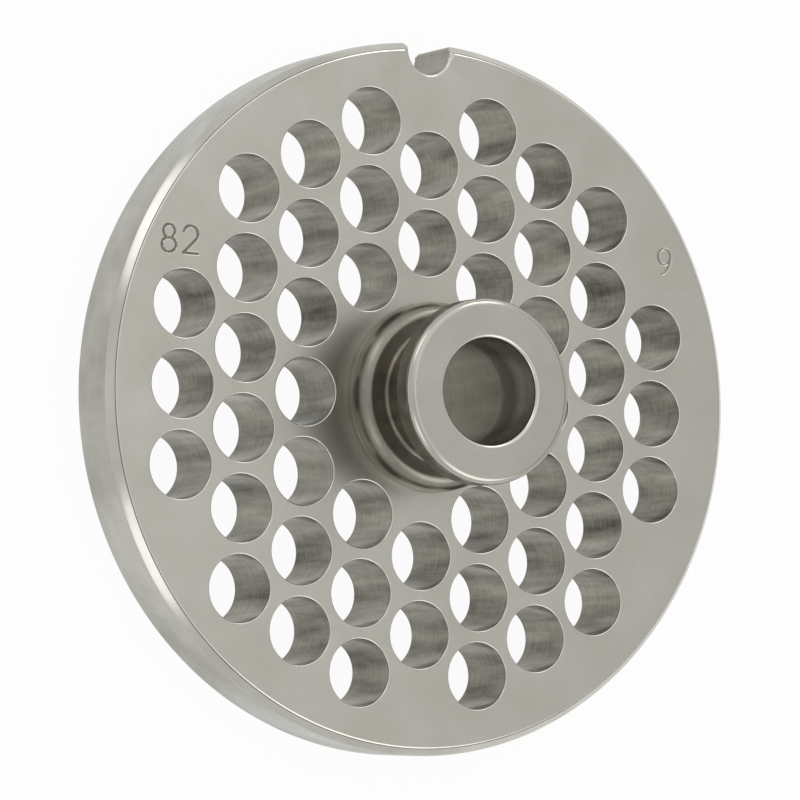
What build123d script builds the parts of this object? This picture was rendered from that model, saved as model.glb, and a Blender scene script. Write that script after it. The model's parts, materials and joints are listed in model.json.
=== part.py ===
from build123d import *
import math
import os

# Meat grinder plate with a hub, one piece of stainless steel.
# Millimetres. The plate lies on its rear face, the face the knife runs on, with its hub up.
# +Z is the axis that the rim, the hub and the bore were turned on, and +Y points at the key notch.
# The origin is on that axis, in the rear face.

# ---- disc ----
plate_diameter = 82.0
plate_thickness = 8.5
rim_chamfer = 0.9

# ---- hub: a foot ring, a waisted neck and a head ----
hub_height = 13.5
foot_diameter = 21.8
foot_wall_height = 0.9
foot_groove_width = 0.25
foot_groove_depth = 0.12
foot_height = 3.5
foot_crown_width = 1.6
neck_diameter = 15.2
neck_lower_fillet = 0.5
neck_upper_fillet = 1.4
head_diameter = 21.0
head_thickness = 3.1
head_edge_radius = 0.8
head_lower_edge_radius = 0.3

# ---- bore ----
bore_diameter = 12.0
bore_chamfer = 0.25
bearing_length = 7.4
bore_relief_step = 0.25

# ---- cutting holes, drilled on a triangular grid ----
hole_diameter = 7.7
hole_pitch = 9.0
hole_edge_break = 0.12
least_web_to_foot = 0.15
least_rim_land = 3.0
# The holes were drilled in a second setup, a little off the turned axis.
drilling_offset_x = -0.65
drilling_offset_y = -0.2

# ---- key notch in the rim: a milled round, its mouth opened by a shallow countersink ----
notch_depth = 3.7
notch_radius = 2.75
notch_corner_radius = 0.5
notch_edge_break = 0.28
notch_offset_x = -0.9
notch_mouth_radius = 3.5
notch_mouth_slope = 0.5

# ---- worked out from the sizes above ----
plate_radius = plate_diameter / 2
land_radius = plate_radius - rim_chamfer
foot_radius = foot_diameter / 2
neck_radius = neck_diameter / 2
head_radius = head_diameter / 2
bore_radius = bore_diameter / 2
relief_radius = bore_radius + bore_relief_step
hole_radius = hole_diameter / 2
front_z = plate_thickness
head_top_z = front_z + hub_height
head_bottom_z = head_top_z - head_thickness
bearing_bottom_z = head_top_z - bearing_length
foot_groove_z = front_z + foot_wall_height
foot_crown_foot_z = foot_groove_z + foot_groove_width
foot_crown_z = front_z + foot_height
notch_y = plate_radius - notch_depth + notch_radius
cutter_overrun = 1.0


def disc_section():
    """Half section of the disc with its chamfered rim."""
    return make_face(
        Polyline(
            (0, 0),
            (land_radius, 0),
            (plate_radius, rim_chamfer),
            (plate_radius, front_z - rim_chamfer),
            (land_radius, front_z),
            (0, front_z),
            close=True,
        )
    )


def hub_section():
    """Half section of the hub: foot ring, waist and head, from the disc's front face up."""
    crown_r = foot_radius - foot_crown_width
    groove_r = foot_radius - foot_groove_depth
    groove_middle_z = foot_groove_z + foot_groove_width / 2
    upper_fillet_r = neck_radius + neck_upper_fillet
    upper_fillet_z = head_bottom_z - neck_upper_fillet
    lower_fillet_r = neck_radius + neck_lower_fillet
    lower_fillet_z = foot_crown_z + neck_lower_fillet
    lower_edge_r = head_radius - head_lower_edge_radius
    lower_edge_z = head_bottom_z + head_lower_edge_radius
    top_edge_r = head_radius - head_edge_radius
    top_edge_z = head_top_z - head_edge_radius
    outline = [
        Line((0, front_z), (foot_radius, front_z)),
        Line((foot_radius, front_z), (foot_radius, foot_groove_z)),
        Line((foot_radius, foot_groove_z), (groove_r, groove_middle_z)),
        Line((groove_r, groove_middle_z), (foot_radius, foot_crown_foot_z)),
        EllipticalCenterArc(
            (crown_r, foot_crown_foot_z), foot_crown_width, foot_crown_z - foot_crown_foot_z, 0, arc_size=90
        ),
        Line((crown_r, foot_crown_z), (lower_fillet_r, foot_crown_z)),
        CenterArc((lower_fillet_r, lower_fillet_z), neck_lower_fillet, 270, -90),
        Line((neck_radius, lower_fillet_z), (neck_radius, upper_fillet_z)),
        CenterArc((upper_fillet_r, upper_fillet_z), neck_upper_fillet, 180, -90),
        Line((upper_fillet_r, head_bottom_z), (lower_edge_r, head_bottom_z)),
        CenterArc((lower_edge_r, lower_edge_z), head_lower_edge_radius, 270, 90),
        Line((head_radius, lower_edge_z), (head_radius, top_edge_z)),
        CenterArc((top_edge_r, top_edge_z), head_edge_radius, 0, 90),
        Line((top_edge_r, head_top_z), (0, head_top_z)),
        Line((0, head_top_z), (0, front_z)),
    ]
    return make_face(outline)


def turned(section):
    """Turn a half section, drawn in X and Y, about the plate's Z axis."""
    return revolve(Plane.XZ * section, Axis.Z, 360)


def bore_cutter():
    """The stud's bore: chamfered mouth, reamed bearing in the head, and a wider relief behind it."""
    return turned(
        make_face(
            Polyline(
                (0, -cutter_overrun),
                (relief_radius + bore_chamfer + cutter_overrun, -cutter_overrun),
                (relief_radius, bore_chamfer),
                (relief_radius, bearing_bottom_z - bore_relief_step),
                (bore_radius, bearing_bottom_z),
                (bore_radius, head_top_z - bore_chamfer),
                (bore_radius + bore_chamfer + cutter_overrun, head_top_z + cutter_overrun),
                (0, head_top_z + cutter_overrun),
                close=True,
            )
        )
    )


def hole_cutter():
    """A drill with both of the hole's edges broken."""
    return turned(
        make_face(
            Polyline(
                (0, -cutter_overrun),
                (hole_radius + hole_edge_break + cutter_overrun, -cutter_overrun),
                (hole_radius, hole_edge_break),
                (hole_radius, front_z - hole_edge_break),
                (hole_radius + hole_edge_break + cutter_overrun, front_z + cutter_overrun),
                (0, front_z + cutter_overrun),
                close=True,
            )
        )
    )


def hole_centres():
    """Grid points that clear the hub's foot and leave the rim its land."""
    column_step = hole_pitch * math.sqrt(3) / 2
    columns = math.ceil(plate_radius / column_step)
    rows = math.ceil(2 * plate_radius / hole_pitch)
    nearest = foot_radius + least_web_to_foot + hole_radius
    farthest = plate_radius - least_rim_land - hole_radius
    centres = []
    for column in range(-columns, columns + 1):
        for row in range(-rows, rows + 1):
            if (column + row) % 2:
                continue
            x = column * column_step + drilling_offset_x
            y = row * hole_pitch / 2 + drilling_offset_y
            if nearest <= math.hypot(x, y) <= farthest:
                centres.append((x, y))
    return centres


def cone_cutter(radius, slope):
    """A countersink: this radius in the plane z = 0, its tip below, and a straight way out above."""
    return turned(
        make_face(
            Polyline(
                (0, -radius * slope),
                (radius, 0),
                (radius, cutter_overrun),
                (0, cutter_overrun),
                close=True,
            )
        )
    )


def notched_disc():
    """The disc with its key notch: rounded where it meets the rim, and its edges broken."""
    outline = Circle(plate_radius) - Pos(notch_offset_x, notch_y) * Circle(notch_radius)
    corners = outline.vertices().filter_by_position(Axis.Y, notch_y, plate_radius)
    outline = fillet(corners, notch_corner_radius)
    disc = turned(disc_section()) & extrude(outline, plate_thickness)
    edge_break = Pos(notch_offset_x, notch_y) * cone_cutter(notch_radius + notch_edge_break, 1)
    mouth = Pos(notch_offset_x, plate_radius) * cone_cutter(notch_mouth_radius, notch_mouth_slope)
    for cutter in (edge_break, mouth):
        disc = disc - Pos(0, 0, front_z) * cutter - mirror(cutter, Plane.XY)
    return disc


def drilled_disc():
    """The disc with its key notch and its cutting holes."""
    drill = hole_cutter()
    return notched_disc() - [Pos(x, y, 0) * drill for x, y in hole_centres()]


def grinder_plate():
    """The whole plate: the drilled disc with its hub, bored through."""
    return drilled_disc() + turned(hub_section()) - bore_cutter()


os.makedirs("parts", exist_ok=True)
plate = grinder_plate()
print("holes", len(hole_centres()), "volume", round(plate.volume, 1), "solids", len(plate.solids()))
export_step(plate, "parts/grinder_plate.step")
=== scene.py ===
"""A meat grinder plate with a hub, dressed for rendering.

The plate is one solid of stainless steel. Its mesh is written here in millimetres from the sizes that the
plate was made to, in the plate's own frame: Z is the axis of the rim, the hub and the bore, the rear face is
at z = 0, the hub stands up, and +Y points at the key notch.
"""

import json
import logging
import math
from collections.abc import Callable, Sequence
from dataclasses import dataclass, field
from enum import Enum

import bmesh
import bpy
from mathutils import Matrix, Vector
from mathutils.geometry import delaunay_2d_cdt


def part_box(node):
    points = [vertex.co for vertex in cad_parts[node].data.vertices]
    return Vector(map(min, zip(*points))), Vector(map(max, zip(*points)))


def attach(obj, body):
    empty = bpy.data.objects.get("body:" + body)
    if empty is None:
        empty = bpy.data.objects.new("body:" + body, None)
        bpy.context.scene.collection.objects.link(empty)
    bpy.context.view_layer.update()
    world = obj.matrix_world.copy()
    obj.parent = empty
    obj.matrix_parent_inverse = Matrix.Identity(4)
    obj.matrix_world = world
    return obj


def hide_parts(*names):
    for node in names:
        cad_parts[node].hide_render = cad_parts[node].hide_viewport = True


NodeTree = bpy.types.NodeTree
Socket = bpy.types.NodeSocket

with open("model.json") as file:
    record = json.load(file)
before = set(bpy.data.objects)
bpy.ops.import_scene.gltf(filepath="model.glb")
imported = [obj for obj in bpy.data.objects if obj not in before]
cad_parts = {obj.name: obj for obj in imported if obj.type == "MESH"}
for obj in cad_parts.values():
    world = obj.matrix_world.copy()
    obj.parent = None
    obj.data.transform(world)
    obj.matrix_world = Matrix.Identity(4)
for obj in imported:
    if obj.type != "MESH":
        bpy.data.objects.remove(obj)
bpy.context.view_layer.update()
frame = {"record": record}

MM = 0.001
LOG = logging.getLogger("grinder_plate")


# ---------------------------------------------------------------- surfaces and meshes


class Surface(Enum):
    """How each part of the skin was made, with painted shade and highlight on some. The value is its
    material's place on the mesh.
    """

    FACE = 0
    RIM = 1
    BEVEL = 2
    HOLE_WALL = 3
    HOLE_EDGE = 4
    FOOT = 5
    NECK = 6
    HEAD = 7
    HEAD_FACE = 8
    BORE = 9
    RELIEF = 10
    NOTCH = 11
    FIGURE = 12
    HAIRLINE = 13


@dataclass(frozen=True)
class Corner:
    """A corner of a profile, in millimetres: its distance from the axis, its height and its round."""

    r: float
    z: float
    radius: float = 0.0
    steps: int = 1


def rounded(corners: Sequence[Corner]) -> list[tuple[float, float]]:
    """Round the corners of an open profile with arcs.

    Args:
        corners: The profile's corners from end to end. The two ends stay as they are.

    Returns:
        The points (r, z) of the rounded profile.
    """
    points = [(corners[0].r, corners[0].z)]
    for before, corner, after in zip(corners, corners[1:], corners[2:]):
        here = Vector((corner.r, corner.z))
        back = (Vector((before.r, before.z)) - here).normalized()
        ahead = (Vector((after.r, after.z)) - here).normalized()
        if corner.radius <= 0:
            points.append((corner.r, corner.z))
            continue
        half = back.angle(ahead) / 2
        centre = here + (back + ahead).normalized() * corner.radius / math.sin(half)
        reach = corner.radius / math.tan(half)
        start = here + back * reach - centre
        end = here + ahead * reach - centre
        turn = math.atan2(start.cross(end), start.dot(end))
        for step in range(corner.steps + 1):
            arm = Matrix.Rotation(turn * step / corner.steps, 2) @ start
            points.append((centre.x + arm.x, centre.y + arm.y))
    points.append((corners[-1].r, corners[-1].z))
    return points


class Skin:
    """A closed mesh in the making, in millimetres. Points that coincide are one point."""

    weld_steps_per_mm: float = 1e4
    fill_tolerance: float = 1e-7
    normal_weight: int = 100

    def __init__(self) -> None:
        """Start with no points and no faces."""
        self.points: list[tuple[float, float, float]] = []
        self.faces: list[tuple[int, ...]] = []
        self.kinds: list[int] = []
        self.known: dict[tuple[int, ...], int] = {}

    def point(self, x: float, y: float, z: float) -> int:
        """Find a point, or make it if it is new.

        Args:
            x: Its place in X.
            y: Its place in Y.
            z: Its height.

        Returns:
            Its index.
        """
        key = tuple(round(c * self.weld_steps_per_mm) for c in (x, y, z))
        if key not in self.known:
            self.known[key] = len(self.points)
            self.points.append((x, y, z))
        return self.known[key]

    def ring(self, x: float, y: float, r: float, z: float, count: int) -> list[int]:
        """Return a ring of count points of radius r about (x, y) at height z."""
        turns = [2 * math.pi * i / count for i in range(count)]
        return [self.point(x + r * math.cos(a), y + r * math.sin(a), z) for a in turns]

    def strip(self, one: Sequence[int], other: Sequence[int], kind: Surface | Sequence[Surface]) -> None:
        """Join two closed rings of as many points by faces.

        Args:
            one: The first ring.
            other: The second ring.
            kind: The surface of all the faces, or one for each.
        """
        count = len(one)
        kinds = [kind] * count if isinstance(kind, Surface) else kind
        for i in range(count):
            j = (i + 1) % count
            corners = []
            for index in (one[i], one[j], other[j], other[i]):
                if index not in corners:
                    corners.append(index)
            if len(corners) > 2:
                self.faces.append(tuple(corners))
                self.kinds.append(kinds[i].value)

    def loft(self, rings: Sequence[Sequence[int]], kind: Surface) -> None:
        """Join each ring to the next."""
        for one, other in zip(rings, rings[1:]):
            self.strip(one, other, kind)

    def fill(
        self,
        loops: Sequence[Sequence[int]],
        loose: Sequence[int],
        inside: Callable[[float, float], bool],
        kind: Surface,
        sunk_below: float = -math.inf,
    ) -> None:
        """Fill a flat region with triangles.

        Args:
            loops: The closed outlines of the region and of its holes.
            loose: More points inside the region.
            inside: Says whether a place (x, y) is in the region.
            kind: The surface of the faces.
            sunk_below: Faces that lie wholly lower than this are figures.
        """
        order = list(dict.fromkeys([i for loop in loops for i in loop] + list(loose)))
        place = {index: i for i, index in enumerate(order)}
        flat = [Vector(self.points[i][:2]) for i in order]
        edges = [(place[a], place[b]) for loop in loops for a, b in zip(loop, [*loop[1:], loop[0]])]
        _, _, triangles, origin, _, _ = delaunay_2d_cdt(flat, edges, [], 0, self.fill_tolerance)
        for triangle in triangles:
            corners = tuple(order[origin[i][0]] for i in triangle)
            x, y = (sum(self.points[i][axis] for i in corners) / 3 for axis in (0, 1))
            if inside(x, y):
                # Faces sunk in the stamped figures take the figure finish, darkened as painted shade.
                sunk = all(self.points[i][2] < sunk_below for i in corners)
                self.faces.append(corners)
                self.kinds.append((Surface.FIGURE if sunk else kind).value)

    def build(
        self,
        name: str,
        materials: Sequence[bpy.types.Material],
        sharp_angle: float,
    ) -> bpy.types.Object:
        """Make the object, in metres, with its outer side out and its creases sharp.

        Args:
            name: The object's name.
            materials: One material for each surface, in order.
            sharp_angle: Edges that turn by more than this many degrees stay sharp.

        Returns:
            The new object, linked into the scene.
        """
        mesh = bpy.data.meshes.new(name)
        mesh.from_pydata([tuple(c * MM for c in p) for p in self.points], [], self.faces)
        mesh.polygons.foreach_set("material_index", self.kinds)
        for material in materials:
            mesh.materials.append(material)
        work = bmesh.new()
        work.from_mesh(mesh)
        bmesh.ops.recalc_face_normals(work, faces=work.faces)
        limit = math.radians(sharp_angle)
        open_edges = 0
        for face in work.faces:
            face.smooth = True
        for edge in work.edges:
            if len(edge.link_faces) != 2:
                open_edges += 1
                continue
            first, second = edge.link_faces
            edge.smooth = first.material_index == second.material_index and edge.calc_face_angle() < limit
        work.to_mesh(mesh)
        work.free()
        counts = (len(mesh.vertices), len(mesh.polygons), open_edges)
        LOG.info("%s: %d points, %d faces, %d open edges", name, *counts)
        piece = bpy.data.objects.new(name, mesh)
        bpy.context.scene.collection.objects.link(piece)
        normals = piece.modifiers.new("even_normals", "WEIGHTED_NORMAL")
        normals.keep_sharp = True
        normals.weight = self.normal_weight
        return piece


# ---------------------------------------------------------------- node helpers


def linear(hex_colour: str) -> tuple[float, float, float, float]:
    """Turn an sRGB colour into a linear one.

    Args:
        hex_colour: The colour, such as "#b4b1a9".

    Returns:
        Its linear red, green, blue and alpha.
    """
    parts = [int(hex_colour[i : i + 2], 16) / 255 for i in (1, 3, 5)]
    red, green, blue = (c / 12.92 if c <= 0.04045 else ((c + 0.055) / 1.055) ** 2.4 for c in parts)
    return (red, green, blue, 1.0)


def add_node(
    tree: NodeTree, kind: str, settings: dict[str, object] | None = None, **links: object
) -> bpy.types.Node:
    """Add a node with its settings and inputs.

    Args:
        tree: The node tree it goes into.
        kind: The node's type without its first word, ShaderNode, such as "Math".
        settings: Its properties by name.
        links: Its inputs by name, with _ for a space, or by number as i0, i1 and so on. Each is a value,
            or an output socket that is linked to it.

    Returns:
        The new node.
    """
    node = tree.nodes.new("ShaderNode" + kind)
    for name, value in (settings or {}).items():
        setattr(node, name, value)
    for name, value in links.items():
        key = int(name[1:]) if name[0] == "i" and name[1:].isdigit() else name.replace("_", " ")
        socket = node.inputs[key]
        if isinstance(value, Socket):
            tree.links.new(value, socket)
        else:
            socket.default_value = value
    return node


# ---------------------------------------------------------------- finishes

# Blender's noise lies mostly within its spread on either side of its middle.
NOISE_MIDDLE = 0.5
NOISE_SPREAD = 0.25
NOISE_ROUGHNESS = 0.6
# Where no mark shows, a finish lies halfway between its two tones.
UNMARKED_SHARE = 0.5


@dataclass(frozen=True)
class StainlessFinish:
    """A finish of stainless steel: two tones, a roughness, and the marks of the tool that made it.

    The lighter and darker patches are mottle_mm wide. The tool's lines are finer than line_mm on the real
    plate, and are drawn as coarse as they need to be to show. Painted shade is a soft dark band at a height.
    """

    name: str
    light_hex: str
    dark_hex: str
    roughness: float
    roughness_spread: float = 0.05
    mottle_mm: float = 9.0
    mottle_contrast: float = 0.5
    line_mm: float = 0.5
    line_strength: float = 0.3
    line_tone: float = 0.3
    line_depth_mm: float = 0.02
    painted_shade_band_height_mm: float = 0.0
    painted_shade_band_reach_mm: float = 1.0
    painted_shade_band_share: float = 0.0

    def coordinates(self, tree: NodeTree) -> Socket:
        """Return the place on the plate in millimetres."""
        here = add_node(tree, "TexCoord").outputs["Object"]
        return add_node(tree, "VectorMath", {"operation": "SCALE"}, i0=here, Scale=1 / MM).outputs[0]

    def around_axis(self, tree: NodeTree, place: Socket) -> Socket:
        """Give coordinates that are the same all round a turned surface.

        Args:
            tree: The material's node tree.
            place: The place on the plate.

        Returns:
            The distance from the axis, the height and 0.
        """
        level = (1.0, 1.0, 0.0)
        flat = add_node(tree, "VectorMath", {"operation": "MULTIPLY"}, i0=place, i1=level)
        radius = add_node(tree, "VectorMath", {"operation": "LENGTH"}, i0=flat.outputs[0])
        parts = add_node(tree, "SeparateXYZ", Vector=place)
        joined = add_node(tree, "CombineXYZ", X=radius.outputs["Value"], Y=parts.outputs["Z"])
        return joined.outputs[0]

    def line_coordinates(self, tree: NodeTree, place: Socket) -> Socket:
        """Return coordinates in which the tool's lines are drawn: here, a grain with no direction."""
        return place

    def patch_coordinates(self, tree: NodeTree, place: Socket) -> Socket:
        """Return coordinates in which the lighter and darker patches are drawn."""
        return place

    def painted_shade_band(self, tree: NodeTree, place: Socket) -> Socket:
        """Darken the surface in a soft band at a height, as painted shade.

        Args:
            tree: The material's node tree.
            place: The place on the plate.

        Returns:
            How much darker the surface is there.
        """
        height = add_node(tree, "SeparateXYZ", Vector=place).outputs["Z"]
        middle = self.painted_shade_band_height_mm
        above = add_node(tree, "Math", {"operation": "SUBTRACT"}, i0=height, i1=middle)
        away = add_node(tree, "Math", {"operation": "ABSOLUTE"}, i0=above.outputs[0])
        band = add_node(
            tree,
            "MapRange",
            {"interpolation_type": "SMOOTHSTEP"},
            Value=away.outputs[0],
            From_Max=self.painted_shade_band_reach_mm,
            To_Min=self.painted_shade_band_share,
            To_Max=0.0,
        )
        return band.outputs[0]

    def material(self) -> bpy.types.Material:
        """Build the finish's material.

        Returns:
            A metallic material whose tone, roughness and bump follow the finish.
        """
        made = bpy.data.materials.new(self.name)
        made.use_nodes = True
        tree = made.node_tree
        tree.nodes.clear()
        place = self.coordinates(tree)
        mottle = add_node(
            tree,
            "TexNoise",
            Vector=self.patch_coordinates(tree, place),
            Scale=1 / self.mottle_mm,
            Detail=4.0,
            Roughness=NOISE_ROUGHNESS,
        )
        lines = add_node(
            tree,
            "TexNoise",
            Vector=self.line_coordinates(tree, place),
            Scale=1 / self.line_mm,
            Detail=3.0,
            Roughness=NOISE_ROUGHNESS,
        )
        # The painted shade band starts the darkening, and the random marks add to it.
        darker = self.painted_shade_band(tree, place)
        for noise, swing in ((mottle, self.mottle_contrast), (lines, self.line_tone)):
            mark = add_node(
                tree,
                "MapRange",
                Value=noise.outputs["Fac"],
                From_Min=NOISE_MIDDLE - NOISE_SPREAD,
                From_Max=NOISE_MIDDLE + NOISE_SPREAD,
                To_Min=-swing / 2,
                To_Max=swing / 2,
            )
            total = add_node(tree, "Math", {"operation": "ADD"}, i0=mark.outputs[0], i1=darker)
            darker = total.outputs[0]
        clamped_sum = {"operation": "ADD", "use_clamp": True}
        share = add_node(tree, "Math", clamped_sum, i0=darker, i1=UNMARKED_SHARE)
        tone = add_node(
            tree,
            "Mix",
            {"data_type": "RGBA"},
            i0=share.outputs[0],
            i6=linear(self.light_hex),
            i7=linear(self.dark_hex),
        )
        rough = add_node(
            tree,
            "MapRange",
            Value=share.outputs[0],
            To_Min=self.roughness - self.roughness_spread,
            To_Max=self.roughness + self.roughness_spread,
        )
        bump = add_node(
            tree,
            "Bump",
            Height=lines.outputs["Fac"],
            Strength=self.line_strength,
            Distance=self.line_depth_mm * MM,
        )
        shader = add_node(
            tree,
            "BsdfPrincipled",
            Base_Color=tone.outputs[2],
            Metallic=1.0,
            Roughness=rough.outputs[0],
            Normal=bump.outputs[0],
        )
        add_node(tree, "OutputMaterial", Surface=shader.outputs[0])
        return made


@dataclass(frozen=True)
class TurnedFinish(StainlessFinish):
    """A finish with the fine rings that a lathe leaves round the plate's axis."""

    def line_coordinates(self, tree: NodeTree, place: Socket) -> Socket:
        """Return coordinates that change across the rings only."""
        return self.around_axis(tree, place)


@dataclass(frozen=True)
class DrilledFinish(StainlessFinish):
    """A finish with the scores that a drill leaves round each hole, level with the faces."""

    line_draw: float = 0.12
    patch_draw: float = 0.15

    def line_coordinates(self, tree: NodeTree, place: Socket) -> Socket:
        """Return coordinates drawn out along the scores."""
        draw = (self.line_draw, self.line_draw, 1.0)
        return add_node(tree, "VectorMath", {"operation": "MULTIPLY"}, i0=place, i1=draw).outputs[0]

    def patch_coordinates(self, tree: NodeTree, place: Socket) -> Socket:
        """Return coordinates drawn out along the hole, the way the drill drags its chips."""
        draw = (1.0, 1.0, self.patch_draw)
        return add_node(tree, "VectorMath", {"operation": "MULTIPLY"}, i0=place, i1=draw).outputs[0]


# ---------------------------------------------------------------- the plate


@dataclass
class KeyNotch:
    """The milled notch in the rim that keeps the plate from turning. Sizes are in millimetres."""

    depth: float = 3.7
    radius: float = 2.75
    corner_radius: float = 0.5
    edge_break: float = 0.28
    offset_x: float = -0.9
    mouth_radius: float = 3.5
    mouth_slope: float = 0.5
    round_steps: int = 64
    corner_steps: int = 10

    def centre(self, plate_radius: float) -> Vector:
        """Return the centre that the notch was milled about."""
        return Vector((self.offset_x, plate_radius - self.depth + self.radius))

    def corner_centre(self, plate_radius: float, side: int) -> Vector:
        """Place the round where the notch meets the rim.

        Args:
            plate_radius: The rim's radius.
            side: 1 for the notch's right corner, -1 for its left.

        Returns:
            The round's centre.
        """
        centre = self.centre(plate_radius)
        near = self.radius + self.corner_radius
        far = plate_radius - self.corner_radius
        inward = -centre.normalized()
        along = (near**2 - far**2 + centre.length_squared) / (2 * centre.length)
        across = math.sqrt(near**2 - along**2)
        return centre + inward * along + Vector((-inward.y, inward.x)) * across * side

    def outline(self, plate_radius: float) -> list[tuple[Vector, Vector]]:
        """Trace the notch from the rim on its right to the rim on its left.

        Args:
            plate_radius: The rim's radius.

        Returns:
            Points on the notch's wall, each with its normal into the steel.
        """
        centre = self.centre(plate_radius)
        corners = []
        arms = []
        for side in (1, -1):
            corner = self.corner_centre(plate_radius, side)
            out = corner.normalized()
            to_notch = (centre - corner).normalized()
            turn = math.atan2(out.cross(to_notch), out.dot(to_notch))
            arc = []
            for step in range(self.corner_steps + 1):
                arm = Matrix.Rotation(turn * step / self.corner_steps, 2) @ out
                arc.append((corner + arm * self.corner_radius, -arm))
            corners.append(arc)
            arms.append(math.atan2(-to_notch.y, -to_notch.x))
        sweep = (arms[0] - arms[1]) % (2 * math.pi)
        round_part = []
        for step in range(1, self.round_steps):
            angle = arms[0] - sweep * step / self.round_steps
            arm = Vector((math.cos(angle), math.sin(angle)))
            round_part.append((centre + arm * self.radius, arm))
        return corners[0] + round_part + corners[1][::-1]

    def open_mouth(self, place: Vector, below_face: float, plate_radius: float) -> Vector:
        """Move a point of the outline clear of the countersink that opens the notch's mouth.

        Args:
            place: The point.
            below_face: How far it is under the nearer face.
            plate_radius: The rim's radius.

        Returns:
            The point, or the nearest one outside the countersink.
        """
        centre = Vector((self.offset_x, plate_radius))
        reach = self.mouth_radius - below_face / self.mouth_slope
        arm = place - centre
        return place if arm.length >= reach else centre + arm.normalized() * reach


FIGURE_WIDTH = 0.62
FIGURE_ARC_STEPS = 24


class Figure(Enum):
    """A plain stamped figure, as strokes in a cell FIGURE_WIDTH wide and 1 high.

    A stroke runs through points (x, y) and arcs (x, y, x radius, y radius, first angle, last angle).
    """

    TWO = (((0.31, 0.70, 0.29, 0.30, 165.0, -38.0), (0.02, 0.0), (FIGURE_WIDTH, 0.0)),)
    EIGHT = (((0.31, 0.75, 0.23, 0.25, 90.0, 450.0),), ((0.31, 0.26, 0.29, 0.26, 90.0, 450.0),))
    NINE = (((0.31, 0.70, 0.28, 0.30, 0.0, 360.0), (0.10, 0.70, 0.49, 0.70, 0.0, -75.0)),)

    def strokes(self) -> list[list[Vector]]:
        """Trace the figure.

        Returns:
            Its centre lines, each as a run of points.
        """
        runs = []
        for stroke in self.value:
            run = []
            for part in stroke:
                if len(part) == 2:
                    run.append(Vector(part))
                    continue
                x, y, rx, ry, start, end = part
                for step in range(FIGURE_ARC_STEPS + 1):
                    angle = math.radians(start + (end - start) * step / FIGURE_ARC_STEPS)
                    run.append(Vector((x + rx * math.cos(angle), y + ry * math.sin(angle))))
            runs.append(run)
        return runs


@dataclass
class StampedNumber:
    """A number stamped into the front face, upright to the notch. Sizes are in millimetres."""

    figures: tuple[Figure, ...]
    x: float
    y: float
    height: float = 3.1
    advance: float = 2.7
    stroke: float = 0.42
    depth: float = 0.16
    grain: float = 0.07
    margin: float = 0.35
    runs: list[list[Vector]] = field(init=False)

    def __post_init__(self) -> None:
        """Lay the figures' strokes out on the face."""
        corner = Vector((self.x, self.y))
        self.runs = []
        for i, figure in enumerate(self.figures):
            shift = corner + Vector((i * self.advance, 0.0))
            self.runs += [[shift + p * self.height for p in run] for run in figure.strokes()]

    def sink(self, x: float, y: float) -> float:
        """Say how deep the stamp went at a place.

        Args:
            x: The place in X.
            y: The place in Y.

        Returns:
            The depth.
        """
        here = Vector((x, y))
        nearest = self.stroke
        for run in self.runs:
            for a, b in zip(run, run[1:]):
                along = b - a
                share = max(0.0, min(1.0, (here - a).dot(along) / max(along.length_squared, 1e-9)))
                nearest = min(nearest, (here - a - along * share).length)
        edge = min(1.0, 2 * nearest / self.stroke)
        return self.depth * (1 + math.cos(math.pi * edge)) / 2

    def field_points(self) -> list[tuple[float, float, float]]:
        """Lay a fine grid over the number.

        Returns:
            Its points as (x, y, depth).
        """
        across = (len(self.figures) - 1) * self.advance + FIGURE_WIDTH * self.height + 2 * self.margin
        up = self.height + 2 * self.margin
        grid = []
        for i in range(math.ceil(across / self.grain)):
            for j in range(math.ceil(up / self.grain)):
                x = self.x - self.margin + i * self.grain
                y = self.y - self.margin + j * self.grain
                grid.append((x, y, self.sink(x, y)))
        return grid


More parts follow.
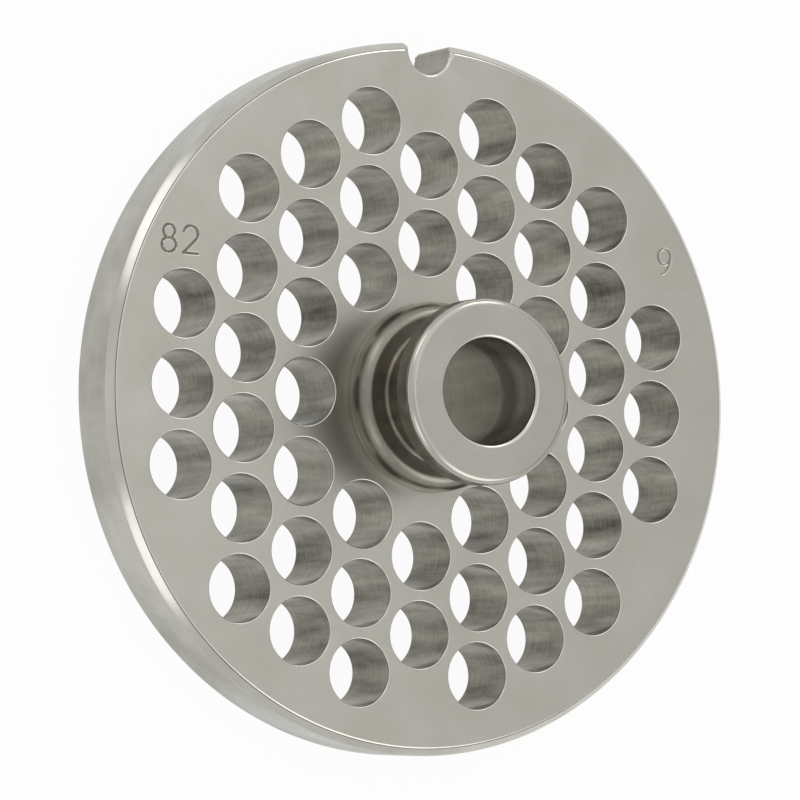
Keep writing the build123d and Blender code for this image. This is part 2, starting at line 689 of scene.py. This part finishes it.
@dataclass
class DrilledDisc:
    """The disc with its bevelled rim, its field of cutting holes and its key notch. Sizes in millimetres."""

    radius: float
    thickness: float = 8.5
    bevel: float = 0.9
    bevel_top_radius: float = 0.4
    bevel_line_drop: float = 0.055
    bevel_foot_radius: float = 0.25
    hole_diameter: float = 7.7
    hole_pitch: float = 9.0
    hole_edge: float = 0.12
    hole_facets: int = 72
    rim_facets: int = 520
    notch_break_cuts: int = 4
    notch_mouth_cuts: tuple[float, ...] = (0.4, 0.5)
    least_level_gap: float = 0.01
    figure_floor: float = 0.03
    least_web_to_foot: float = 0.15
    least_rim_land: float = 3.0
    drilling_offset: tuple[float, float] = (-0.65, -0.2)
    foot_radius: float = 10.9
    notch: KeyNotch = field(default_factory=KeyNotch)
    numbers: tuple[StampedNumber, ...] = ()

    @property
    def hole_radius(self) -> float:
        """Half the width of a cutting hole."""
        return self.hole_diameter / 2

    def hole_centres(self) -> list[tuple[float, float]]:
        """Place the cutting holes.

        Returns:
            The grid points that clear the hub's foot and leave the rim its land.
        """
        column_step = self.hole_pitch * math.sqrt(3) / 2
        columns = math.ceil(self.radius / column_step)
        rows = math.ceil(2 * self.radius / self.hole_pitch)
        nearest = self.foot_radius + self.least_web_to_foot + self.hole_radius
        farthest = self.radius - self.least_rim_land - self.hole_radius
        centres = []
        for column in range(-columns, columns + 1):
            for row in range(-rows, rows + 1):
                x = column * column_step + self.drilling_offset[0]
                y = row * self.hole_pitch / 2 + self.drilling_offset[1]
                if (column + row) % 2 == 0 and nearest <= math.hypot(x, y) <= farthest:
                    centres.append((x, y))
        return centres

    def rim_kind(self, below_face: float) -> Surface:
        """Say what the rim's skin is at a depth below the nearer face.

        Args:
            below_face: The depth.

        Returns:
            The break at the face with its painted highlight, the hairline under it with its painted shade,
            the bevel, or the rim.
        """
        # The bevel is at 45 degrees, so the round over its top ends this deep.
        line_end = self.bevel_top_radius * (1 - math.cos(math.pi / 4))
        if below_face < self.bevel_line_drop:
            return Surface.HOLE_EDGE
        if below_face < line_end:
            return Surface.HAIRLINE
        return Surface.BEVEL if below_face < self.bevel else Surface.RIM

    def rim_levels(self) -> list[tuple[float, float, float]]:
        """Work out the levels of the rim and the notch, from the rear face to the front.

        Returns:
            For each level its height, and how far the rim and the notch's wall stand back there.
        """
        half = rounded(
            [
                Corner(self.bevel + self.bevel_top_radius, self.thickness),
                Corner(self.bevel, self.thickness, self.bevel_top_radius, steps=6),
                Corner(0.0, self.thickness - self.bevel, self.bevel_foot_radius, steps=4),
                Corner(0.0, self.thickness / 2),
            ]
        )[1:]
        heights = [(z, back) for back, z in half]
        count = self.notch_break_cuts
        break_cuts = [self.notch.edge_break * step / count for step in range(1, count + 1)]
        for cut in (*break_cuts, *self.notch_mouth_cuts):
            heights.append((self.thickness - cut, max(0.0, self.bevel - cut)))
        heights.sort(key=lambda level: level[0])
        front = []
        for z, back in heights:
            if front and z - front[-1][0] < self.least_level_gap:
                continue
            left = max(0.0, self.notch.edge_break - (self.thickness - z))
            short = self.notch.edge_break - math.sqrt(self.notch.edge_break**2 - left**2)
            front.append((z, back, short))
        rear = [(self.thickness - z, back, short) for z, back, short in front[::-1]]
        return rear[:-1] + front

    def rim_outline(self) -> list[tuple[Vector, Vector, bool]]:
        """Trace the whole outline.

        Returns:
            Its points, each with its normal into the steel and whether it is on the notch.
        """
        trace = [(p, n, True) for p, n in self.notch.outline(self.radius)]
        start = math.atan2(trace[-1][0].y, trace[-1][0].x)
        end = math.atan2(trace[0][0].y, trace[0][0].x)
        sweep = (end - start) % (2 * math.pi)
        for step in range(1, self.rim_facets):
            angle = start + sweep * step / self.rim_facets
            out = Vector((math.cos(angle), math.sin(angle)))
            trace.append((out * self.radius, -out, False))
        return trace

    def lay_rim(self, skin: Skin) -> tuple[list[int], list[int]]:
        """Make the rim, its bevels and the notch's wall.

        Args:
            skin: The mesh they go into.

        Returns:
            The outline's points in the rear face and in the front face.
        """
        trace = self.rim_outline()
        levels = self.rim_levels()
        rings = []
        for (z, back, short), (above, _, _) in zip(levels, [*levels[1:], levels[-1]]):
            ring = []
            kinds = []
            middle = (z + above) / 2
            outer = self.rim_kind(min(middle, self.thickness - middle))
            limit = self.radius - back
            for place, normal, on_notch in trace:
                kind = outer
                if on_notch:
                    kind = Surface.HOLE_EDGE if short > 0 else Surface.NOTCH
                    milled = place + normal * short
                    place = self.notch.open_mouth(milled, min(z, self.thickness - z), self.radius)
                    kind = kind if place == milled else Surface.BEVEL
                if place.length > limit or not on_notch:
                    place = place.normalized() * limit
                    kind = outer
                ring.append(skin.point(place.x, place.y, z))
                kinds.append(kind)
            rings.append((ring, kinds))
        for (one, kinds), (other, _) in zip(rings, rings[1:]):
            skin.strip(one, other, kinds)
        return rings[0][0], rings[-1][0]

    def lay_hole(self, skin: Skin, x: float, y: float) -> tuple[list[int], list[int]]:
        """Make one cutting hole's wall and its two broken edges.

        Args:
            skin: The mesh they go into.
            x: The hole's place in X.
            y: The hole's place in Y.

        Returns:
            The hole's outlines in the rear face and in the front face.
        """
        well_outside = self.hole_radius + self.hole_edge + 1.0
        edge = rounded(
            [
                Corner(well_outside, self.thickness),
                Corner(self.hole_radius, self.thickness, self.hole_edge, steps=4),
                Corner(self.hole_radius, self.thickness / 2),
            ]
        )[1:-1]
        front = [skin.ring(x, y, r, z, self.hole_facets) for r, z in edge]
        rear = [skin.ring(x, y, r, self.thickness - z, self.hole_facets) for r, z in edge]
        # The broken edges are lighter than the face: painted highlight, on a smoother finish.
        skin.loft(front, Surface.HOLE_EDGE)
        skin.loft(rear, Surface.HOLE_EDGE)
        skin.loft([front[-1], rear[-1]], Surface.HOLE_WALL)
        return rear[0], front[0]

    def lay(self, skin: Skin, foot: Sequence[int], mouth: Sequence[int], mouth_radius: float) -> None:
        """Make the disc.

        Args:
            skin: The mesh it goes into.
            foot: The outline of the hub's foot in the front face.
            mouth: The outline of the bore in the rear face.
            mouth_radius: That outline's radius.
        """
        rear_rim, front_rim = self.lay_rim(skin)
        centres = self.hole_centres()
        holes = [self.lay_hole(skin, x, y) for x, y in centres]
        hole_clear = (self.hole_radius + self.hole_edge) * math.cos(math.pi / self.hole_facets)
        outline = [Vector(skin.points[i][:2]) for i in rear_rim]

        def solid(x: float, y: float) -> bool:
            """Say whether (x, y) is steel, between the holes and inside the rim."""
            if any(math.hypot(x - a, y - b) < hole_clear for a, b in centres):
                return False
            return inside_outline(x, y, outline)

        loose = []
        for number in self.numbers:
            for x, y, sink in number.field_points():
                loose.append(skin.point(x, y, self.thickness - sink))
        skin.fill(
            [front_rim, list(foot)] + [front for _, front in holes],
            loose,
            lambda x, y: math.hypot(x, y) > self.foot_radius and solid(x, y),
            Surface.FACE,
            self.thickness - self.figure_floor,
        )
        skin.fill(
            [rear_rim, list(mouth)] + [rear for rear, _ in holes],
            [],
            lambda x, y: math.hypot(x, y) > mouth_radius and solid(x, y),
            Surface.FACE,
        )
        LOG.info("disc: %d cutting holes", len(centres))


def inside_outline(x: float, y: float, outline: Sequence[Vector]) -> bool:
    """Say whether a place lies inside a closed outline, by counting crossings.

    Args:
        x: The place in X.
        y: The place in Y.
        outline: The outline's points in order.

    Returns:
        True inside the outline.
    """
    within = False
    for a, b in zip(outline, [*outline[1:], outline[0]]):
        if (a.y > y) != (b.y > y) and x < (b.x - a.x) * (y - a.y) / (b.y - a.y) + a.x:
            within = not within
    return within


@dataclass
class Hub:
    """The turned hub: foot ring, waisted neck and head, with the stud's bore. Sizes in millimetres."""

    front_z: float
    top_z: float
    bore_radius: float
    foot_radius: float = 10.9
    foot_wall_height: float = 0.9
    groove_width: float = 0.25
    groove_depth: float = 0.12
    foot_height: float = 3.5
    crown_width: float = 1.6
    crown_steps: int = 16
    neck_radius: float = 7.6
    neck_lower_fillet: float = 0.5
    neck_upper_fillet: float = 1.4
    head_radius: float = 10.5
    head_thickness: float = 3.1
    head_edge: float = 0.8
    head_lower_edge: float = 0.3
    head_side_gap: float = 0.05
    bore_round: float = 0.4
    bore_chamfer: float = 0.25
    bearing_length: float = 7.4
    relief_step: float = 0.25
    facets: int = 216

    @property
    def relief_radius(self) -> float:
        """The radius of the bore behind its bearing."""
        return self.bore_radius + self.relief_step

    def turn(self, skin: Skin, corners: Sequence[Corner], kind: Surface) -> list[list[int]]:
        """Turn a profile about the axis.

        Args:
            skin: The mesh it goes into.
            corners: The profile's corners.
            kind: The surface that it makes.

        Returns:
            Its rings, from the profile's first point to its last.
        """
        rings = [skin.ring(0.0, 0.0, r, z, self.facets) for r, z in rounded(corners)]
        skin.loft(rings, kind)
        return rings

    def foot_profile(self) -> list[Corner]:
        """Draw the foot ring.

        Returns:
            The corners of its low wall, its fine tool groove and its elliptical crown.
        """
        groove_z = self.front_z + self.foot_wall_height
        crown_foot_z = groove_z + self.groove_width
        crown_height = self.front_z + self.foot_height - crown_foot_z
        profile = [
            Corner(self.foot_radius, self.front_z),
            Corner(self.foot_radius, groove_z),
            Corner(self.foot_radius - self.groove_depth, groove_z + self.groove_width / 2),
        ]
        for step in range(self.crown_steps + 1):
            angle = math.pi / 2 * step / self.crown_steps
            r = self.foot_radius - self.crown_width * (1 - math.cos(angle))
            profile.append(Corner(r, crown_foot_z + crown_height * math.sin(angle)))
        return profile

    def lay(self, skin: Skin) -> tuple[list[int], list[int]]:
        """Make the hub and the bore.

        Args:
            skin: The mesh they go into.

        Returns:
            The foot's outline in the front face and the bore's outline in the rear face.
        """
        crown_z = self.front_z + self.foot_height
        head_z = self.top_z - self.head_thickness
        bearing_z = self.top_z - self.bearing_length
        flat_r = self.head_radius - self.head_edge
        mouth = Corner(self.bore_radius + self.bore_round, self.top_z)
        below_mouth = Corner(self.bore_radius, self.top_z - self.bore_round)
        shoulder = Corner(self.head_radius, self.top_z - self.head_edge - self.head_side_gap)
        profile = self.foot_profile()
        foot = self.turn(skin, profile[:2], Surface.FOOT)
        # The foot's groove takes the hairline finish, darkened as painted shade.
        self.turn(skin, profile[1:4], Surface.HAIRLINE)
        self.turn(skin, profile[3:], Surface.FOOT)
        self.turn(
            skin,
            [
                Corner(self.foot_radius - self.crown_width, crown_z),
                Corner(self.neck_radius, crown_z, self.neck_lower_fillet, steps=8),
                Corner(self.neck_radius, head_z, self.neck_upper_fillet, steps=12),
                Corner(self.head_radius, head_z, self.head_lower_edge, steps=5),
                shoulder,
            ],
            Surface.NECK,
        )
        self.turn(
            skin,
            [
                shoulder,
                Corner(self.head_radius, self.top_z, self.head_edge, steps=12),
                Corner(flat_r, self.top_z),
            ],
            Surface.HEAD,
        )
        self.turn(skin, [Corner(flat_r, self.top_z), mouth], Surface.HEAD_FACE)
        mouth_round = Corner(self.bore_radius, self.top_z, self.bore_round, steps=8)
        self.turn(skin, [mouth, mouth_round, below_mouth], Surface.HOLE_EDGE)
        self.turn(skin, [below_mouth, Corner(self.bore_radius, bearing_z)], Surface.BORE)
        rear = self.turn(
            skin,
            [
                Corner(self.bore_radius, bearing_z),
                Corner(self.relief_radius, bearing_z - self.relief_step),
                Corner(self.relief_radius, self.bore_chamfer),
                Corner(self.relief_radius + self.bore_chamfer, 0.0),
            ],
            Surface.RELIEF,
        )
        return foot[0], rear[-1]


@dataclass
class GrinderPlate:
    """The whole plate, sized from the frame where the frame says, and dressed."""

    finishes: dict[Surface, StainlessFinish]
    node: str = "grinder_plate"
    slot: str = "stainless_steel"
    sharp_angle: float = 32.0

    def build(self) -> bpy.types.Object:
        """Build the plate as one mesh that stands for its node.

        Returns:
            The plate.
        """
        _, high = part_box(self.node)
        mounts = {mount["name"]: mount for mount in frame["record"]["mounts"]}
        disc = DrilledDisc(
            radius=mounts["rim"]["dims"]["r_mm"],
            thickness=mounts["ring_land"]["pos_m"][2] / MM,
            numbers=(
                StampedNumber((Figure.EIGHT, Figure.TWO), x=-34.9, y=14.4),
                StampedNumber((Figure.NINE,), x=31.0, y=16.4, depth=0.08),
            ),
        )
        hub = Hub(
            front_z=disc.thickness,
            top_z=high.z / MM,
            bore_radius=mounts["stud_bore"]["dims"]["r_mm"],
            foot_radius=disc.foot_radius,
        )
        skin = Skin()
        foot, mouth = hub.lay(skin)
        disc.lay(skin, foot, mouth, hub.relief_radius + hub.bore_chamfer)
        materials = [self.finishes[surface].material() for surface in Surface]
        plate = skin.build("ground_grinder_plate", materials, self.sharp_angle)
        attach(plate, "root")
        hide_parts(self.node)
        return plate


# ---------------------------------------------------------------- studio


@dataclass(frozen=True)
class SkyPatch:
    """A soft box or a dark flag, as a round patch of sky. Angles are in degrees, azimuth from +X to +Y.

    Its light is whole within core of its middle, and fades to nothing at reach.
    """

    azimuth: float
    elevation: float
    core: float
    reach: float
    level: float

    def direction(self) -> tuple[float, float, float]:
        """Return the unit vector towards the patch."""
        turn, rise = math.radians(self.azimuth), math.radians(self.elevation)
        return (math.cos(rise) * math.cos(turn), math.cos(rise) * math.sin(turn), math.sin(rise))

    def light(self, tree: NodeTree, towards: Socket) -> Socket:
        """Add the patch's nodes.

        Args:
            tree: The world's node tree.
            towards: The direction that is looked in.

        Returns:
            The light that the patch adds in that direction.
        """
        near = add_node(tree, "VectorMath", {"operation": "DOT_PRODUCT"}, i0=towards, i1=self.direction())
        faded = add_node(
            tree,
            "MapRange",
            {"interpolation_type": "SMOOTHSTEP"},
            Value=near.outputs["Value"],
            From_Min=math.cos(math.radians(self.reach)),
            From_Max=math.cos(math.radians(self.core)),
            To_Max=self.level,
        )
        return faded.outputs[0]


@dataclass
class Studio:
    """A plain pale floor, plain soft light and the camera. Sizes in millimetres, angles in degrees."""

    eye: tuple[float, float, float] = (-255.94, -37.96, 443.06)
    aim: tuple[float, float, float] = (-3.90, -0.48, 8.5)
    roll: float = -1.21
    lens: float = 198.39
    sensor: float = 36.0
    nearest_seen: float = 10.0
    farthest_seen: float = 20000.0
    floor_size: float = 3000.0
    floor_drop: float = 0.02
    floor_hex: str = "#e6e6e4"
    floor_roughness: float = 0.9
    floor_white: float = 0.95
    near_floor: float = 60.0
    far_floor: float = 220.0
    near_floor_in_metal: float = 0.62
    far_floor_in_metal: float = 0.3
    key_place: tuple[float, float, float] = (300.0, 520.0, 420.0)
    key_size: float = 260.0
    key_watts: float = 0.4
    sky_level: float = 0.72
    patches: tuple[SkyPatch, ...] = (
        SkyPatch(azimuth=75, elevation=62, core=20, reach=50, level=0.3),
        SkyPatch(azimuth=170, elevation=80, core=5, reach=18, level=-0.25),
        SkyPatch(azimuth=10, elevation=38, core=5, reach=30, level=-0.25),
        SkyPatch(azimuth=134, elevation=24, core=5, reach=19, level=1.1),
        SkyPatch(azimuth=221, elevation=28, core=5, reach=19, level=0.9),
        SkyPatch(azimuth=303, elevation=48, core=9, reach=24, level=1.1),
    )

    def camera(self) -> bpy.types.Object:
        """Place the camera and make it the scene's.

        Returns:
            The camera.
        """
        data = bpy.data.cameras.new("camera")
        data.lens = self.lens
        data.sensor_width = self.sensor
        data.clip_start = self.nearest_seen * MM
        data.clip_end = self.farthest_seen * MM
        forward = (Vector(self.aim) - Vector(self.eye)).normalized()
        right = forward.cross(Vector((0.0, 1.0, 0.0))).normalized()
        up = right.cross(forward)
        turn = Matrix.Rotation(math.radians(self.roll), 3, forward)
        right, up = turn @ right, turn @ up
        facing = Matrix((right, up, -forward)).transposed().to_4x4()
        camera = bpy.data.objects.new("camera", data)
        camera.matrix_world = Matrix.Translation(Vector(self.eye) * MM) @ facing
        bpy.context.scene.collection.objects.link(camera)
        bpy.context.scene.camera = camera
        return camera

    def floor(self) -> bpy.types.Object:
        """Lay the floor under the plate.

        Returns:
            The floor.
        """
        half = self.floor_size * MM / 2
        mesh = bpy.data.meshes.new("floor")
        corners = [(-half, -half, 0), (half, -half, 0), (half, half, 0), (-half, half, 0)]
        mesh.from_pydata(corners, [], [(0, 1, 2, 3)])
        mesh.materials.append(self.paper())
        floor = bpy.data.objects.new("floor", mesh)
        floor.location.z = -self.floor_drop * MM
        bpy.context.scene.collection.objects.link(floor)
        return floor

    def paper(self) -> bpy.types.Material:
        """Build the floor's paper: matt white, evenly bright to the eye and duller as the metal mirrors it.

        Returns:
            The material. It still takes a little of the plate's shadow.
        """
        made = bpy.data.materials.new("matt_white_paper")
        made.use_nodes = True
        tree = made.node_tree
        tree.nodes.clear()
        paper = add_node(
            tree, "BsdfPrincipled", Base_Color=linear(self.floor_hex), Roughness=self.floor_roughness
        )
        glow = add_node(tree, "Emission", Strength=1.0)
        path = add_node(tree, "LightPath").outputs
        here = add_node(tree, "TexCoord").outputs["Object"]
        away = add_node(tree, "VectorMath", {"operation": "LENGTH"}, i0=here)
        near = add_node(
            tree,
            "MapRange",
            Value=away.outputs["Value"],
            From_Min=self.near_floor * MM,
            From_Max=self.far_floor * MM,
            To_Min=self.near_floor_in_metal,
            To_Max=self.far_floor_in_metal,
        ).outputs[0]
        times = {"operation": "MULTIPLY"}
        larger = {"operation": "MAXIMUM"}
        in_metal = add_node(tree, "Math", times, i0=path["Is Glossy Ray"], i1=near)
        seen = add_node(tree, "Math", larger, i0=path["Is Camera Ray"], i1=path["Is Transmission Ray"])
        in_view = add_node(tree, "Math", times, i0=seen.outputs[0], i1=self.floor_white)
        share = add_node(tree, "Math", larger, i0=in_metal.outputs[0], i1=in_view.outputs[0])
        mix = add_node(tree, "MixShader", i0=share.outputs[0], i1=paper.outputs[0], i2=glow.outputs[0])
        add_node(tree, "OutputMaterial", Surface=mix.outputs[0])
        return made

    def sky(self) -> None:
        """Light the scene from all round, plainly."""
        world = bpy.data.worlds.new("studio")
        world.use_nodes = True
        tree = world.node_tree
        tree.nodes.clear()
        here = add_node(tree, "TexCoord")
        total: Socket | float = self.sky_level
        for patch in self.patches:
            light = patch.light(tree, here.outputs["Generated"])
            total = add_node(tree, "Math", {"operation": "ADD"}, i0=total, i1=light).outputs[0]
        lit = add_node(tree, "Math", {"operation": "MAXIMUM"}, i0=total, i1=0.0)
        path = add_node(tree, "LightPath")
        level = add_node(
            tree,
            "Mix",
            {"data_type": "FLOAT"},
            i0=path.outputs["Is Camera Ray"],
            i2=lit.outputs[0],
            i3=1.0,
        )
        glow = add_node(tree, "Background", Color=(1.0, 1.0, 1.0, 1.0), Strength=level.outputs[0])
        add_node(tree, "OutputWorld", Surface=glow.outputs[0])
        bpy.context.scene.world = world

    def key_lamp(self) -> None:
        """Hang the one soft lamp, facing the plate."""
        data = bpy.data.lights.new("key_lamp", "AREA")
        data.shape = "SQUARE"
        data.size = self.key_size * MM
        data.energy = self.key_watts
        lamp = bpy.data.objects.new("key_lamp", data)
        lamp.location = Vector(self.key_place) * MM
        lamp.rotation_euler = (-Vector(self.key_place)).to_track_quat("-Z", "Y").to_euler()
        bpy.context.scene.collection.objects.link(lamp)

    def build(self) -> None:
        """Build the whole studio."""
        self.camera()
        self.floor()
        self.sky()
        self.key_lamp()
        bpy.context.scene.view_settings.view_transform = "Standard"


FINISHES: dict[Surface, StainlessFinish] = {
    # Surface ground and worn: a soft, even sheen with a fine grain.
    Surface.FACE: StainlessFinish(
        "ground_stainless_face",
        "#c6c3bc",
        "#b2afa4",
        0.31,
        mottle_contrast=0.7,
        line_strength=0.15,
        line_tone=0.15,
    ),
    # Turned, then wiped by its seat: a smooth band with soft cloudy patches.
    Surface.RIM: TurnedFinish(
        "turned_stainless_rim",
        "#cecdc7",
        "#9b998f",
        0.28,
        mottle_mm=11.0,
        mottle_contrast=0.9,
        line_strength=0.1,
        line_tone=0.12,
    ),
    # Turned and rubbed bright: holds sharp highlights.
    Surface.BEVEL: TurnedFinish("polished_stainless_bevel", "#d8d7d1", "#bab8af", 0.15, mottle_contrast=0.9),
    # Drilled and never polished: scored round the wall, so that what it mirrors is drawn out along the hole.
    Surface.HOLE_WALL: DrilledFinish(
        "drilled_stainless_wall",
        "#b1aea1",
        "#4c493f",
        0.2,
        mottle_mm=2.8,
        mottle_contrast=1.05,
        line_mm=0.3,
        line_strength=0.3,
        line_tone=0.3,
    ),
    # Broken by hand: a thin line round each hole, smoother than the face, whose lighter tone is a painted
    # highlight.
    Surface.HOLE_EDGE: StainlessFinish("broken_stainless_edge", "#dcdad2", "#cac7bd", 0.2),
    # Turned with a form tool: bright, but with a dull olive film.
    Surface.FOOT: TurnedFinish(
        "turned_stainless_foot", "#a2a095", "#79766b", 0.33, mottle_mm=5.0, mottle_contrast=0.7
    ),
    # Left from the parting tool; its dark brownish tone is painted shade under the head.
    Surface.NECK: TurnedFinish(
        "turned_stainless_neck", "#9a9588", "#68625a", 0.43, mottle_mm=2.5, mottle_contrast=0.9
    ),
    # Turned and rubbed bright by handling.
    Surface.HEAD: TurnedFinish("polished_stainless_head_edge", "#c9c7bf", "#b0ada3", 0.17),
    # Ground with the disc's face.
    Surface.HEAD_FACE: StainlessFinish(
        "ground_stainless_head",
        "#c0bdb6",
        "#aca99f",
        0.3,
        mottle_contrast=0.7,
        line_strength=0.15,
        line_tone=0.15,
    ),
    # Reamed, then run on its stud: fine rings, with painted shade as a dark band towards the inner end.
    Surface.BORE: TurnedFinish(
        "reamed_stainless_bore",
        "#b9b6aa",
        "#58554b",
        0.26,
        painted_shade_band_height_mm=16.2,
        painted_shade_band_reach_mm=3.2,
        painted_shade_band_share=0.65,
    ),
    # Drilled rough behind the bearing.
    Surface.RELIEF: DrilledFinish("drilled_stainless_relief", "#a09e8e", "#6e6b5b", 0.4, mottle_mm=3.0),
    # Milled: short marks across the wall.
    Surface.NOTCH: DrilledFinish("milled_stainless_notch", "#b6b4ab", "#85827a", 0.28, mottle_mm=4.0),
    # Struck with a punch; the darker tone in the grooves is painted shade.
    Surface.FIGURE: StainlessFinish("stamped_stainless_figure", "#98958b", "#7b786f", 0.45),
    # The hairline where the bevel's tool stopped short of the ground face, and the foot's groove: dull, and
    # darkened as painted shade.
    Surface.HAIRLINE: TurnedFinish(
        "turned_stainless_hairline", "#858279", "#57544b", 0.4, mottle_contrast=0.9
    ),
}


def main() -> None:
    """Build the plate and the studio, and report each piece."""
    logging.basicConfig(level=logging.INFO, format="%(name)s: %(message)s")
    plate = GrinderPlate(FINISHES).build()
    LOG.info("%s stands for its node", plate.name)
    Studio().build()
    LOG.info("studio: floor, sky, lamp and camera")


if __name__ == "__main__":
    main()
